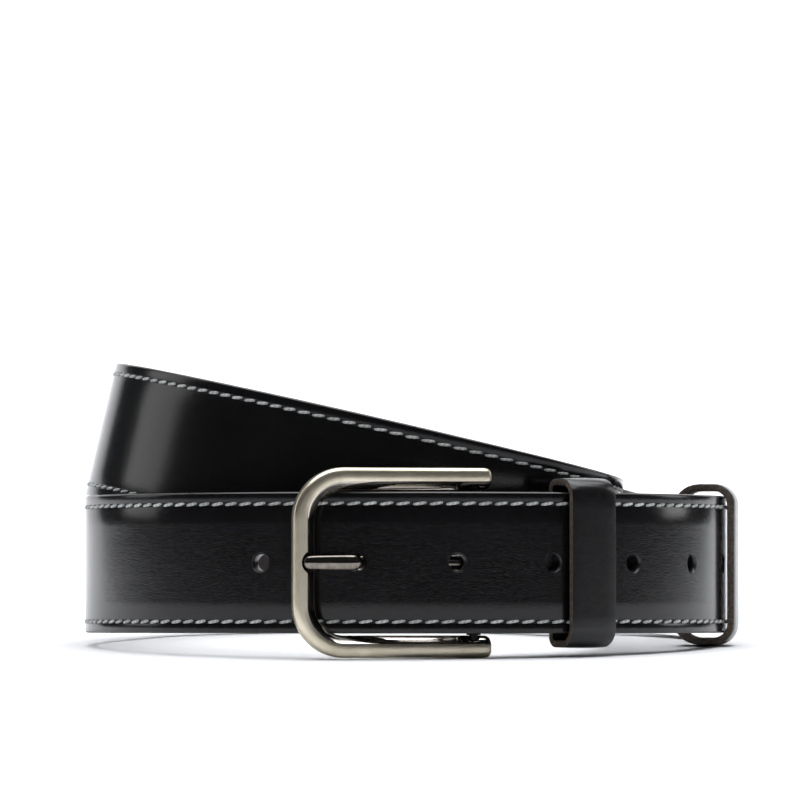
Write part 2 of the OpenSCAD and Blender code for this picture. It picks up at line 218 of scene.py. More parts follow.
def cut(piece, cutter, sharp=38):
    """Takes the cutter out of the piece; the cut's walls keep the cutter's material."""
    modifier = piece.modifiers.new("punch", "BOOLEAN")
    modifier.object = cutter
    modifier.operation = "DIFFERENCE"
    modifier.solver = "EXACT"
    modifier.material_mode = "TRANSFER"
    bpy.context.view_layer.update()
    graph = bpy.context.evaluated_depsgraph_get()
    mesh = bpy.data.meshes.new_from_object(piece.evaluated_get(graph))
    piece.modifiers.clear()
    old = piece.data
    piece.data = mesh
    bpy.data.meshes.remove(old)
    mesh.name = piece.name
    mesh.set_sharp_from_angle(angle=math.radians(sharp))
    bpy.data.objects.remove(cutter)


# ---------------------------------------------------------------- materials


def hex_colour(value):
    """sRGB hex to the linear colour that shaders take."""
    parts = [int(value[i:i + 2], 16) / 255 for i in (1, 3, 5)]
    return [c / 12.92 if c <= 0.04045 else ((c + 0.055) / 1.055) ** 2.4 for c in parts] + [1.0]


def add(tree, kind, settings=None, links=None):
    """Adds a node: settings are its properties or inputs, links are its inputs' sources."""
    node = tree.nodes.new(kind)
    for key, value in (settings or {}).items():
        if isinstance(key, int) or key in node.inputs:
            node.inputs[key].default_value = value
        else:
            setattr(node, key, value)
    for key, source in (links or {}).items():
        tree.links.new(source, node.inputs[key])
    return node


def material(name, **settings):
    made = bpy.data.materials.new(name)
    made.use_nodes = True
    shader = made.node_tree.nodes["Principled BSDF"]
    for key, value in settings.items():
        shader.inputs[key.replace("_", " ")].default_value = value
    return made, made.node_tree, shader


def ramp(tree, source, stops):
    node = add(tree, "ShaderNodeValToRGB", links={0: source})
    elements = node.color_ramp.elements
    while len(elements) < len(stops):
        elements.new(0.5)
    for element, (place, colour) in zip(elements, stops):
        element.position = place
        element.color = colour
    return node


def grey(v):
    return (v, v, v, 1.0)


# Box-calf leather, dyed through, plated and polished with wax: a near-black, even gloss whose
# fine creases run along the strap and whose pores show only where light grazes it
def calf_leather():
    made, tree, shader = material("polished_calf_leather", IOR=1.38, Coat_Weight=0.04,
                                  Coat_Roughness=0.14)
    uv = add(tree, "ShaderNodeUVMap")
    place = add(tree, "ShaderNodeMapping", {"Scale": (0.5, 1.0, 1.0)}, {"Vector": uv.outputs[0]})
    # grain cells about 0.9 mm across, stretched along the strap by the plating
    cells = add(tree, "ShaderNodeTexVoronoi", {"feature": "DISTANCE_TO_EDGE", "Scale": 1700.0,
                                                "Randomness": 0.9}, {"Vector": place.outputs[0]})
    creases = add(tree, "ShaderNodeTexNoise", {"Scale": 1300.0, "Detail": 4.0, "Roughness": 0.6},
                  {"Vector": place.outputs[0]})
    # slow unevenness of the hide, some 20 mm across
    hide = add(tree, "ShaderNodeTexNoise", {"Scale": 46.0, "Detail": 3.0}, {"Vector": uv.outputs[0]})
    edge = ramp(tree, cells.outputs["Distance"], [(0.0, grey(0.0)), (0.16, grey(1.0))])
    height = add(tree, "ShaderNodeMix", {"data_type": "RGBA", "blend_type": "MULTIPLY", 0: 0.55},
                 {6: creases.outputs[0], 7: edge.outputs[0]})
    bump = add(tree, "ShaderNodeBump", {"Strength": 0.12, "Distance": 0.0001},
               {"Height": height.outputs[2]})
    slow = add(tree, "ShaderNodeBump", {"Strength": 0.14, "Distance": 0.0006},
               {"Height": hide.outputs[0], "Normal": bump.outputs[0]})
    tone = ramp(tree, hide.outputs[0], [(0.3, hex_colour("#0b0b0c")), (0.72, hex_colour("#121213"))])
    gloss = ramp(tree, creases.outputs[0], [(0.3, grey(0.13)), (0.7, grey(0.2))])
    tree.links.new(tone.outputs[0], shader.inputs["Base Color"])
    tree.links.new(gloss.outputs[0], shader.inputs["Roughness"])
    tree.links.new(slow.outputs[0], shader.inputs["Normal"])
    tree.links.new(bump.outputs[0], shader.inputs["Coat Normal"])
    return made


# The same leather pressed down in the stitching groove: burnished, darker and duller
def groove_leather():
    made, tree, shader = material("burnished_groove_leather", IOR=1.5)
    uv = add(tree, "ShaderNodeUVMap")
    noise = add(tree, "ShaderNodeTexNoise", {"Scale": 1500.0, "Detail": 2.0}, {"Vector": uv.outputs[0]})
    tone = ramp(tree, noise.outputs[0], [(0.3, hex_colour("#070707")), (0.7, hex_colour("#101011"))])
    bump = add(tree, "ShaderNodeBump", {"Strength": 0.3, "Distance": 0.0001},
               {"Height": noise.outputs[0]})
    shader.inputs["Roughness"].default_value = 0.5
    tree.links.new(tone.outputs[0], shader.inputs["Base Color"])
    tree.links.new(bump.outputs[0], shader.inputs["Normal"])
    return made


# Edge paint on the strap's cut edges: acrylic, rounded, with the faint waviness of the coats
def edge_paint():
    made, tree, shader = material("black_edge_paint", IOR=1.47, Coat_Weight=0.2, Coat_Roughness=0.2)
    place = add(tree, "ShaderNodeTexCoord")
    wave = add(tree, "ShaderNodeTexNoise", {"Scale": 330.0, "Detail": 2.0},
               {"Vector": place.outputs["Object"]})
    tone = ramp(tree, wave.outputs[0], [(0.25, hex_colour("#121213")), (0.75, hex_colour("#232325"))])
    rough = ramp(tree, wave.outputs[0], [(0.3, grey(0.26)), (0.7, grey(0.42))])
    bump = add(tree, "ShaderNodeBump", {"Strength": 0.25, "Distance": 0.0002},
               {"Height": wave.outputs[0]})
    tree.links.new(tone.outputs[0], shader.inputs["Base Color"])
    tree.links.new(rough.outputs[0], shader.inputs["Roughness"])
    tree.links.new(bump.outputs[0], shader.inputs["Normal"])
    return made


# Nubuck-finished lining leather: matt, brown-black, with a short nap and its own fine grain
def lining_leather():
    made, tree, shader = material("matt_lining_leather", IOR=1.45, Sheen_Weight=0.15,
                                  Sheen_Roughness=0.5)
    uv = add(tree, "ShaderNodeUVMap")
    nap = add(tree, "ShaderNodeTexNoise", {"Scale": 900.0, "Detail": 5.0, "Roughness": 0.7},
              {"Vector": uv.outputs[0]})
    cloud = add(tree, "ShaderNodeTexNoise", {"Scale": 60.0, "Detail": 4.0}, {"Vector": uv.outputs[0]})
    tone = ramp(tree, cloud.outputs[0], [(0.3, hex_colour("#1f1b18")), (0.7, hex_colour("#302a25"))])
    rough = ramp(tree, nap.outputs[0], [(0.3, grey(0.5)), (0.7, grey(0.68))])
    bump = add(tree, "ShaderNodeBump", {"Strength": 0.4, "Distance": 0.00015},
               {"Height": nap.outputs[0]})
    tree.links.new(tone.outputs[0], shader.inputs["Base Color"])
    tree.links.new(rough.outputs[0], shader.inputs["Roughness"])
    tree.links.new(bump.outputs[0], shader.inputs["Normal"])
    return made


# Keeper leather: the same calf, less polished, so it shows a softer and greyer gloss
def keeper_leather():
    made, tree, shader = material("keeper_calf_leather", IOR=1.4, Coat_Weight=0.04,
                                  Coat_Roughness=0.2)
    place = add(tree, "ShaderNodeTexCoord")
    grain = add(tree, "ShaderNodeTexVoronoi", {"feature": "DISTANCE_TO_EDGE", "Scale": 1000.0},
                {"Vector": place.outputs["Object"]})
    fine = add(tree, "ShaderNodeTexNoise", {"Scale": 700.0, "Detail": 5.0, "Roughness": 0.65},
               {"Vector": place.outputs["Object"]})
    edge = ramp(tree, grain.outputs["Distance"], [(0.0, grey(0.0)), (0.2, grey(1.0))])
    height = add(tree, "ShaderNodeMix", {"data_type": "RGBA", "blend_type": "MULTIPLY", 0: 0.5},
                 {6: fine.outputs[0], 7: edge.outputs[0]})
    bump = add(tree, "ShaderNodeBump", {"Strength": 0.1, "Distance": 0.0001},
               {"Height": height.outputs[2]})
    tone = ramp(tree, fine.outputs[0], [(0.3, hex_colour("#111112")), (0.7, hex_colour("#19191a"))])
    rough = ramp(tree, fine.outputs[0], [(0.3, grey(0.2)), (0.7, grey(0.27))])
    tree.links.new(tone.outputs[0], shader.inputs["Base Color"])
    tree.links.new(rough.outputs[0], shader.inputs["Roughness"])
    tree.links.new(bump.outputs[0], shader.inputs["Normal"])
    return made


# Raw cut edge of the keepers: brown-grey fibres that the dye hasn't covered, matt and dusty
def raw_edge():
    made, tree, shader = material("raw_cut_leather_edge", IOR=1.45)
    place = add(tree, "ShaderNodeTexCoord")
    fibre = add(tree, "ShaderNodeTexNoise", {"Scale": 1300.0, "Detail": 6.0, "Roughness": 0.75},
                {"Vector": place.outputs["Object"]})
    tone = ramp(tree, fibre.outputs[0], [(0.25, hex_colour("#2c2723")), (0.5, hex_colour("#4a4139")),
                                         (0.8, hex_colour("#7a6c5f"))])
    bump = add(tree, "ShaderNodeBump", {"Strength": 0.6, "Distance": 0.00018},
               {"Height": fibre.outputs[0]})
    shader.inputs["Roughness"].default_value = 0.78
    tree.links.new(tone.outputs[0], shader.inputs["Base Color"])
    tree.links.new(bump.outputs[0], shader.inputs["Normal"])
    return made


# Waxed polyester thread, three plies: light grey, a soft sheen, plies winding across each stitch
def waxed_thread(name, light, dark):
    made, tree, shader = material(name, IOR=1.5, Sheen_Weight=0.3, Sheen_Roughness=0.4)
    uv = add(tree, "ShaderNodeUVMap")
    turn = add(tree, "ShaderNodeMapping", {"Rotation": (0, 0, 0.6)}, {"Vector": uv.outputs[0]})
    # a ply every 0.5 mm along the stitch
    plies = add(tree, "ShaderNodeTexWave", {"wave_type": "BANDS", "bands_direction": "X",
                                            "Scale": 0.32, "Distortion": 1.5, "Detail": 2.0},
                {"Vector": turn.outputs[0]})
    place = add(tree, "ShaderNodeTexCoord")
    dirt = add(tree, "ShaderNodeTexNoise", {"Scale": 160.0, "Detail": 3.0},
               {"Vector": place.outputs["Object"]})
    tone = ramp(tree, dirt.outputs[0], [(0.3, hex_colour(dark)), (0.65, hex_colour(light))])
    # the ply bands darken the thread's colour between the plies: painted shade in the twists
    shade = add(tree, "ShaderNodeMix", {"data_type": "RGBA", "blend_type": "MULTIPLY", 0: 0.4},
                {6: tone.outputs[0], 7: plies.outputs[0]})
    bump = add(tree, "ShaderNodeBump", {"Strength": 0.5, "Distance": 0.00012},
               {"Height": plies.outputs[1]})
    shader.inputs["Roughness"].default_value = 0.55
    tree.links.new(shade.outputs[2], shader.inputs["Base Color"])
    tree.links.new(bump.outputs[0], shader.inputs["Normal"])
    return made


# Zinc alloy plated in nickel and brushed along the bar: a warm pale grey satin with a soft streak
def satin_nickel():
    made, tree, shader = material("satin_brushed_nickel", Metallic=1.0)
    uv = add(tree, "ShaderNodeUVMap")
    # brush lines about 0.15 mm apart, some 6 mm long
    place = add(tree, "ShaderNodeMapping", {"Scale": (160.0, 6500.0, 1.0)}, {"Vector": uv.outputs[0]})
    brush = add(tree, "ShaderNodeTexNoise", {"Scale": 1.0, "Detail": 3.0, "Roughness": 0.55},
                {"Vector": place.outputs[0]})
    here = add(tree, "ShaderNodeTexCoord")
    cloud = add(tree, "ShaderNodeTexNoise", {"Scale": 220.0, "Detail": 3.0},
                {"Vector": here.outputs["Object"]})
    tone = ramp(tree, cloud.outputs[0], [(0.3, hex_colour("#cbc1ab")), (0.7, hex_colour("#dcd4c0"))])
    rough = ramp(tree, brush.outputs[0], [(0.25, grey(0.27)), (0.75, grey(0.4))])
    bump = add(tree, "ShaderNodeBump", {"Strength": 0.22, "Distance": 0.00004},
               {"Height": brush.outputs[0]})
    tree.links.new(tone.outputs[0], shader.inputs["Base Color"])
    tree.links.new(rough.outputs[0], shader.inputs["Roughness"])
    tree.links.new(bump.outputs[0], shader.inputs["Normal"])
    return made


# The same nickel buffed bright on the bevel, the seat and the prong: near mirror, fine swirls left. The
# prong's copy is tinted darker, which is painted shade.
def polished_nickel(name, tint_dark, tint_light):
    made, tree, shader = material(name, Metallic=1.0)
    here = add(tree, "ShaderNodeTexCoord")
    swirl = add(tree, "ShaderNodeTexNoise", {"Scale": 900.0, "Detail": 4.0, "Distortion": 1.2},
                {"Vector": here.outputs["Object"]})
    tone = ramp(tree, swirl.outputs[0], [(0.3, hex_colour(tint_dark)), (0.7, hex_colour(tint_light))])
    rough = ramp(tree, swirl.outputs[0], [(0.3, grey(0.05)), (0.75, grey(0.1))])
    bump = add(tree, "ShaderNodeBump", {"Strength": 0.06, "Distance": 0.00003},
               {"Height": swirl.outputs[0]})
    tree.links.new(tone.outputs[0], shader.inputs["Base Color"])
    tree.links.new(rough.outputs[0], shader.inputs["Roughness"])
    tree.links.new(bump.outputs[0], shader.inputs["Normal"])
    return made


# Drawn steel: mid grey on the staple and blackened on the bar, drawing lines along it
def drawn_steel(name, dark, light):
    made, tree, shader = material(name, Metallic=1.0)
    here = add(tree, "ShaderNodeTexCoord")
    place = add(tree, "ShaderNodeMapping", {"Scale": (3000.0, 3000.0, 200.0)},
                {"Vector": here.outputs["Object"]})
    lines = add(tree, "ShaderNodeTexNoise", {"Scale": 1.0, "Detail": 3.0}, {"Vector": place.outputs[0]})
    tone = ramp(tree, lines.outputs[0], [(0.3, hex_colour(dark)), (0.7, hex_colour(light))])
    rough = ramp(tree, lines.outputs[0], [(0.3, grey(0.25)), (0.7, grey(0.4))])
    tree.links.new(tone.outputs[0], shader.inputs["Base Color"])
    tree.links.new(rough.outputs[0], shader.inputs["Roughness"])
    return made


CALF = calf_leather()
GROOVE = groove_leather()
PAINT = edge_paint()
LINING = lining_leather()
KEEPER = keeper_leather()
RAW = raw_edge()
THREAD = waxed_thread("light_waxed_thread", "#d2d4d2", "#a3a6a5")
BOBBIN = waxed_thread("dark_bobbin_thread", "#7d8182", "#595d5e")
SATIN = satin_nickel()
BRIGHT = polished_nickel("bright_polished_nickel", "#b5ada3", "#cfc8bf")
# the prong's copy of the same polished nickel, tinted darker: painted shade
PRONG_NICKEL_PAINTED_SHADE = polished_nickel("polished_nickel_prong_painted_shade", "#6a655f", "#88827a")
STEEL = drawn_steel("drawn_steel_wire", "#8b877f", "#a9a59c")
BLACK_STEEL = drawn_steel("blackened_steel_bar", "#1c1b1a", "#2b2a28")

# ---------------------------------------------------------------- strap


def groove(y, deep, sign):
    """The stitching groove's section at y across: a shallow U, walked in the direction of sign."""
    shape = [(-0.62, 0.0), (-0.48, 0.1), (-0.28, 0.85), (0.0, 1.0), (0.28, 0.85), (0.48, 0.1),
             (0.62, 0.0)]
    return [(y + sign * x, deep * d) for x, d in shape]


def rounded_side(sign, radius):
    """The rounded corner between the strap's edge and the side that shows, from the edge inwards."""
    return [(sign * (HALF_W - radius + radius * math.cos(t)), radius * (1 - math.sin(t)))
            for t in (0, math.pi / 8, math.pi / 4, 3 * math.pi / 8, math.pi / 2)]


GROOVE_DEPTH, GROOVE_HALF_W, EDGE_BAND = 0.42, 0.5, 0.35


def layer_section(radius):
    """One leather layer's section as (across, depth from the side that shows)."""
    side = rounded_side(-1, radius)
    left = side + groove(-SEAM_Y, GROOVE_DEPTH, 1)
    flat = [(w, 0.0) for w in (-9.5, -4.8, 0.0, 4.8, 9.5)]
    right = groove(SEAM_Y, GROOVE_DEPTH, 1) + [(-w, d) for w, d in reversed(side)]
    return left + flat + right


def slot_at(across):
    """0 polished face, 1 groove, 2 painted edge, by the distance from the middle line."""
    if abs(across - SEAM_Y) < GROOVE_HALF_W:
        return 1
    return 2 if across > HALF_W - EDGE_BAND else 0


def strap_layer(name, stations, radius, thick, outer, materials, nodes):
    """Sweeps one layer through its stations and spins its round tip."""
    section = layer_section(radius) + [(HALF_W, thick), (0.0, thick), (-HALF_W, thick)]
    slots = [slot_at(abs(w0 + w1) / 2) for (w0, _), (w1, _) in zip(section, section[1:])] + [0]

    def depth(d):
        return d if outer else STRAP_T - d

    def ring(s):
        return [at(s, w, depth(d)) for w, d in section]

    bm = bmesh.new()
    uv = bm.loops.layers.uv.verify()
    along = [0.0]
    for s0, s1 in zip(stations, stations[1:]):
        along.append(along[-1] + (s1[0] - s0[0]).length * MM)
    first, last = sweep(bm, [ring(s) for s in stations], along, [w * MM for w, d in section], slots)
    cap(bm, first, 0)

    # the tip: half of the last ring turned through half a circle, then drawn out to its ellipse
    s = stations[-1]
    centre = STANDING @ s[0]
    forward = (STANDING.to_3x3() @ s[1]).normalized()
    outward = (STANDING.to_3x3() @ s[3]).normalized()
    crosswise = (STANDING.to_3x3() @ s[2]).normalized()
    half = [(w, d) for w, d in section if w >= 0]
    verts = [bm.verts.new(at(s, w, depth(d))) for w, d in half]
    edges = [bm.edges.new((a, b)) for a, b in zip(verts, verts[1:])]
    old_faces = set(bm.faces)
    bmesh.ops.spin(bm, geom=verts + edges, cent=centre, axis=outward, angle=-math.pi, steps=28,
                   use_merge=False)
    new_faces = [f for f in bm.faces if f not in old_faces]
    tip_verts = {v for f in new_faces for v in f.verts}
    for face in new_faces:
        face.smooth = True
        middle = face.calc_center_median() - centre
        away = math.hypot(middle.dot(forward), middle.dot(crosswise)) / MM
        deep = -middle.dot(outward) / MM if outer else STRAP_T + middle.dot(outward) / MM
        face.material_index = 0 if deep > thick - 0.02 else slot_at(away)
    for v in tip_verts:
        v.co += forward * (v.co - centre).dot(forward) * (TIP_ROUND_L / HALF_W - 1)
    for face in new_faces:
        for loop in face.loops:
            from_centre = loop.vert.co - centre
            loop[uv].uv = (along[-1] + from_centre.dot(forward), from_centre.dot(crosswise))
    bmesh.ops.remove_doubles(bm, verts=list(tip_verts) + last, dist=0.00002)
    return finish_mesh(bm, name, materials, "strap", nodes)


strap_face = strap_layer("strap_face_leather", CHAPE + FOLD + MAIN + TIP, 0.65, FACE_T, True,
                         [CALF, GROOVE, PAINT], ["strap_face"])
strap_lining = strap_layer("strap_lining_leather", MAIN[4:] + TIP, 0.55, LINING_T, False,
                           [LINING, GROOVE, PAINT], ["strap_lining"])


def lathe(bm, profile, place, segments=40):
    """Spins a profile of (radius, height) about place's Z axis into a closed solid."""
    verts = [bm.verts.new(place @ Vector((r, 0, z))) for r, z in profile]
    edges = [bm.edges.new((a, b)) for a, b in zip(verts, verts[1:])]
    axis = (place.to_3x3() @ Vector((0, 0, 1))).normalized()
    bmesh.ops.spin(bm, geom=verts + edges, cent=place.translation, axis=axis,
                   angle=2 * math.pi, steps=segments, use_merge=True)
    bmesh.ops.remove_doubles(bm, verts=bm.verts, dist=0.000002)


def hole_place(a):
    """A hole's own frame: Z out of the strap, at the tail's outer face."""
    return (STANDING @ Matrix.Translation((0, 0, HALF_W)) @ Matrix.Rotation(math.radians(a), 4, "Z")
            @ Matrix.Translation((COIL_R, 0, 0)) @ Matrix.Rotation(math.pi / 2, 4, "Y"))


def punches(name):
    """What punching takes out: each hole, with the leather's rim pressed in round it on both sides."""
    bm = bmesh.new()
    for i in range(HOLE_COUNT):
        place = hole_place(USED_HOLE_A + (i + 1 - USED_HOLE) * HOLE_STEP_A)
        profile = [(0, 0.3), (2.62, 0.3), (2.55, -0.06), (2.4, -0.2), (2.2, -0.4), (2.08, -0.8),
                   (2.05, -1.2), (2.05, -2.9), (2.15, -3.2), (2.35, -3.42), (2.42, -3.9), (0, -3.9)]
        lathe(bm, profile, place)
    return finish_mesh(bm, name, [PAINT], None)


cut(strap_face, punches("punch_face"))
cut(strap_lining, punches("punch_lining"))

# The slot in the fold that the prong's eye turns in
bm = bmesh.new()
bmesh.ops.create_cube(bm, size=1.0, matrix=BUCKLE @ Matrix.Translation((0, -0.9, 0))
                      @ Matrix.Diagonal((11, 9.3, 5.8, 1)))
cut(strap_face, finish_mesh(bm, "slot_cutter", [PAINT], None))

# ---------------------------------------------------------------- stitching


def stitch_shape(length, width, height):
    """One stitch: a blunt-ended, slightly flattened bead, its length along X."""
    bm = bmesh.new()
    bmesh.ops.create_uvsphere(bm, u_segments=8, v_segments=8, radius=1.0)
    uv = bm.loops.layers.uv.verify()
    for v in bm.verts:
        t = v.co.z
        fat = math.sqrt(max(0.0, 1 - t ** 6)) / math.sqrt(max(1e-9, 1 - t * t)) if abs(t) < 1 else 1
        v.co = Vector((t * length / 2, v.co.x * fat * width / 2, v.co.y * fat * height / 2)) * MM
    for face in bm.faces:
        face.smooth = True
        for loop in face.loops:
            loop[uv].uv = (loop.vert.co.x / MM, loop.vert.co.y / MM)
    shape = bpy.data.meshes.new("stitch")
    bm.to_mesh(shape)
    bm.free()
    return shape


def walk(points, pitch, start):
    """Places every pitch along a line of (point, out) pairs: (point, direction, out)."""
    places, travelled, due = [], 0.0, start
    for (p0, o0), (p1, o1) in zip(points, points[1:]):
        span = (p1 - p0).length
        while due <= travelled + span and span > 0:
            t = (due - travelled) / span
            places.append((p0.lerp(p1, t), (p1 - p0).normalized(), o0.lerp(o1, t).normalized()))
            due += pitch
        travelled += span
    return places


def stitch_rows(name, places, shape, slant, lift, material_, nodes, body="strap"):
    bm = bmesh.new()
    for point, direction, out in places:
        side = out.cross(direction)
        place = Matrix((direction, side, out)).transposed().to_4x4()
        place.translation = point + out * lift * MM
        place = place @ Matrix.Rotation(math.radians(slant), 4, "Z")
        shape.transform(place)
        bm.from_mesh(shape)
        shape.transform(place.inverted())
    return finish_mesh(bm, name, [material_], body, nodes, sharp=180)


def seam_line(stations, outer):
    """Up one edge's seam, round the tip and back along the other, on either side of the strap."""
    depth = 0.0 if outer else STRAP_T
    turn = STANDING.to_3x3().normalized()
    sign = 1 if outer else -1

    def side(w):
        return [(at(s, w, depth), sign * (turn @ s[3]).normalized()) for s in stations]

    s = stations[-1]
    stretch = (TIP_ROUND_L / HALF_W) * SEAM_Y
    nose = [(STANDING @ (s[0] + s[1] * stretch * math.cos(math.radians(t))
                         + s[2] * SEAM_Y * math.sin(math.radians(t)) - s[3] * depth),
             sign * (turn @ s[3]).normalized()) for t in steps(84, -84, 4)]
    return side(SEAM_Y) + nose + list(reversed(side(-SEAM_Y)))


STITCH = stitch_shape(3.35, 0.76, 0.6)
stitch_rows("face_stitches", walk(seam_line(MAIN[2:] + TIP, True), STITCH_PITCH * MM, 0.001),
            STITCH, 9, -0.12, THREAD, ["seam_thread_upper", "seam_thread_lower", "seam_thread_tip"])
CHAPE_END = next(i for i, s in enumerate(MAIN) if math.degrees(math.atan2(s[0].y, s[0].x)) > -35.5)
stitch_rows("lining_stitches",
            walk(seam_line(MAIN[CHAPE_END:] + TIP, False), STITCH_PITCH * MM, 0.001),
            STITCH, -7, -0.12, BOBBIN,
            ["bobbin_thread_upper", "bobbin_thread_lower", "bobbin_thread_tip"])

# Upright rows that close the chape, on the folded leather and on the face behind the tail
chape = chape_station(-39)
turn = STANDING.to_3x3().normalized()
inner = [(at(chape, w, 0.0), turn @ chape[3]) for w in steps(-11, 11, 1)]
front = station(-39)
outer = [(at(front, w, 0.3), turn @ front[3]) for w in steps(-11, 11, 1)]
stitch_rows("chape_stitches", walk(inner, STITCH_PITCH * MM, 0.0016)
            + walk(outer, STITCH_PITCH * MM, 0.0016), stitch_shape(3.3, 0.84, 0.5), 5, 0.0, THREAD,
            ["chape_thread"])

# ---------------------------------------------------------------- buckle

# The bar's section: u from the opening outwards, v from back to front, and which sides are bright
BEVEL_W, BEVEL_D = 2.05, 2.15
HALF_D = BAR_D / 2
BAR_SECTION = [
    (0.0, -0.1), (0.12, -0.75), (0.55, -1.45), (1.25, -1.92), (1.95, -HALF_D),
    (4.5, -HALF_D), (5.1, -1.92), (5.42, -1.6), (BAR_W, -1.1),
    (BAR_W, 0.7), (5.4, 1.25), (5.1, 1.68), (4.65, 1.96), (4.1, 2.07), (3.3, HALF_D),
    (BEVEL_W + 0.12, HALF_D), (BEVEL_W - 0.05, HALF_D - 0.08), (BEVEL_W * 0.7, HALF_D - 0.55),
    (BEVEL_W * 0.35, HALF_D - 1.3), (0.06, HALF_D - BEVEL_D), (0.0, HALF_D - BEVEL_D - 0.1)]
BAR_SLOTS = [0] * 15 + [1] * 6


def bar_ring(base, out, scale=1.0):
    """The bar's section at base, with out pointing away from the opening, shrunk about its middle."""
    mid = Vector((BAR_W / 2, 0))
    ring = []
    for u, v in BAR_SECTION:
        q = mid + (Vector((u, v)) - mid) * scale
        ring.append(BUCKLE @ (base + out * q.x + Vector((0, q.y, 0))))
    return ring


def frame_rings():
    corner_x, corner_z = FRAME_L - CORNER_R, FRAME_H / 2 - CORNER_R
    inner_r = CORNER_R - BAR_W
    rings, along, x = [], [], -ARM_END_L - NOSE_L

    def put(base, out, scale, u):
        rings.append(bar_ring(base, out, scale))
        along.append(u * MM)

    u = 0.0
    nose = [(0.0, 0.42), (0.12, 0.62), (0.4, 0.8), (0.9, 0.92), (1.6, 0.985), (2.4, 1.0)]
    for side in (1, -1):
        up = Vector((0, 0, side))
        arm = [(d, s) for d, s in nose] + [(d, 1.0) for d in steps(6, corner_x - x, 5)]
        turn_in = steps(90, 0, 5)
        bend = [(Vector((corner_x, 0, side * corner_z)), t) for t in turn_in]
        if side == 1:
            for d, s in arm:
                put(Vector((x + d, 0, OPENING_Z)), up, s, u + d)
            u += corner_x - x
        order = bend if side == 1 else list(reversed(bend))
        for centre, t in order:
            out = Vector((math.cos(math.radians(t)), 0, side * math.sin(math.radians(t))))
            if t == (90 if side == 1 else 0):
                continue
            put(centre + out * inner_r, out, 1.0, u)
            u += math.radians(5) * (inner_r + BAR_W / 2)
        if side == 1:
            for z in steps(corner_z, -corner_z, 4)[1:]:
                put(Vector((FRAME_L - BAR_W, 0, z)), Vector((1, 0, 0)), 1.0, u)
                u += 4
        else:
            for d, s in list(reversed(arm))[1:]:
                put(Vector((x + d, 0, -OPENING_Z)), up, s, u + corner_x - x - d)
    return rings, along


bm = bmesh.new()
rings, along = frame_rings()
lengths = [0.0]
for (u0, v0), (u1, v1) in zip(BAR_SECTION, BAR_SECTION[1:]):
    lengths.append(lengths[-1] + math.hypot(u1 - u0, v1 - v0) * MM)
first, last = sweep(bm, rings, along, lengths, BAR_SLOTS)
cap(bm, first, 0)
cap(bm, last, 0)
buckle_frame = finish_mesh(bm, "buckle_frame_satin", [SATIN, BRIGHT], "buckle", ["buckle_frame"],
                           sharp=32)

# The prong's seat: a scoop in the front bar's inner half, buffed bright
bm = bmesh.new()
bmesh.ops.create_uvsphere(bm, u_segments=40, v_segments=24, radius=1.0,
                          matrix=BUCKLE @ Matrix.Translation((FRAME_L - BAR_W + 0.2, HALF_D + 0.25, 0))
                          @ Matrix.Diagonal((3.5, 1.25, 3.3, 1)))
cut(buckle_frame, finish_mesh(bm, "seat_cutter", [BRIGHT], None), sharp=32)

# The heel bar keeps its CAD shape, as only its blackened ends show between the arms
heel_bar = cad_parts["heel_bar"]
heel_bar.data.materials.clear()
heel_bar.data.materials.append(BLACK_STEEL)

# ---------------------------------------------------------------- prong


def prong_ring(x, y, tilt, wide, thick, roundness=2.6, n=20):
    """A rounded section square to the prong's line, which climbs at tilt degrees in the buckle's plane."""
    t = math.radians(tilt)
    normal = Vector((-math.sin(t), math.cos(t), 0))
    ring = []
    for i in range(n):
        a = 2 * math.pi * i / n
        c, s = math.cos(a), math.sin(a)
        c = math.copysign(abs(c) ** (2 / roundness), c)
        s = math.copysign(abs(s) ** (2 / roundness), s)
        ring.append(BUCKLE @ (Vector((x, y, c * wide / 2)) + normal * s * thick / 2))
    return ring


# The prong's line from tip to eye: x, y, direction, width, thickness
PRONG_LINE = [
    (43.62, 2.55, 180, 0.8, 0.5), (43.5, 2.58, 180, 1.7, 1.0), (43.2, 2.62, 179, 2.5, 1.5),
    (42.7, 2.7, 178, 3.1, 1.95), (42.0, 2.8, 177, 3.4, 2.2), (41.0, 2.95, 176.5, 3.6, 2.35),
    (39.0, 3.15, 176, 3.75, 2.45), (36.0, 3.55, 175.5, 3.85, 2.5), (33.5, 3.95, 175.5, 3.9, 2.5),
    (31.8, 4.1, 178, 3.9, 2.45), (30.8, 4.0, 200, 3.6, 2.2), (30.1, 3.45, 232, 3.0, 2.1),
    (29.72, 2.6, 256, 2.5, 2.1), (29.6, 1.4, 268, 2.3, 2.1), (29.6, -0.4, 270, 2.3, 2.1),
    (29.58, -2.2, 268, 2.3, 2.1), (29.35, -3.8, 256, 2.5, 2.1), (28.8, -5.0, 236, 3.0, 2.1),
    (27.6, -5.85, 208, 3.6, 2.1), (25.8, -6.2, 186, 3.9, 2.1), (21.0, -5.9, 175.5, 4.0, 2.2),
    (14.0, -5.05, 173, 4.0, 2.2), (8.0, -4.2, 171, 4.0, 1.9), (4.5, -3.55, 170, 4.0, 1.6),
    (2.2, -2.95, 168, 4.0, 1.35)]
bm = bmesh.new()
first, last = sweep(bm, [prong_ring(*p) for p in PRONG_LINE], [0.0] * len(PRONG_LINE), [0.0] * 20)
cap(bm, first)
cap(bm, last)
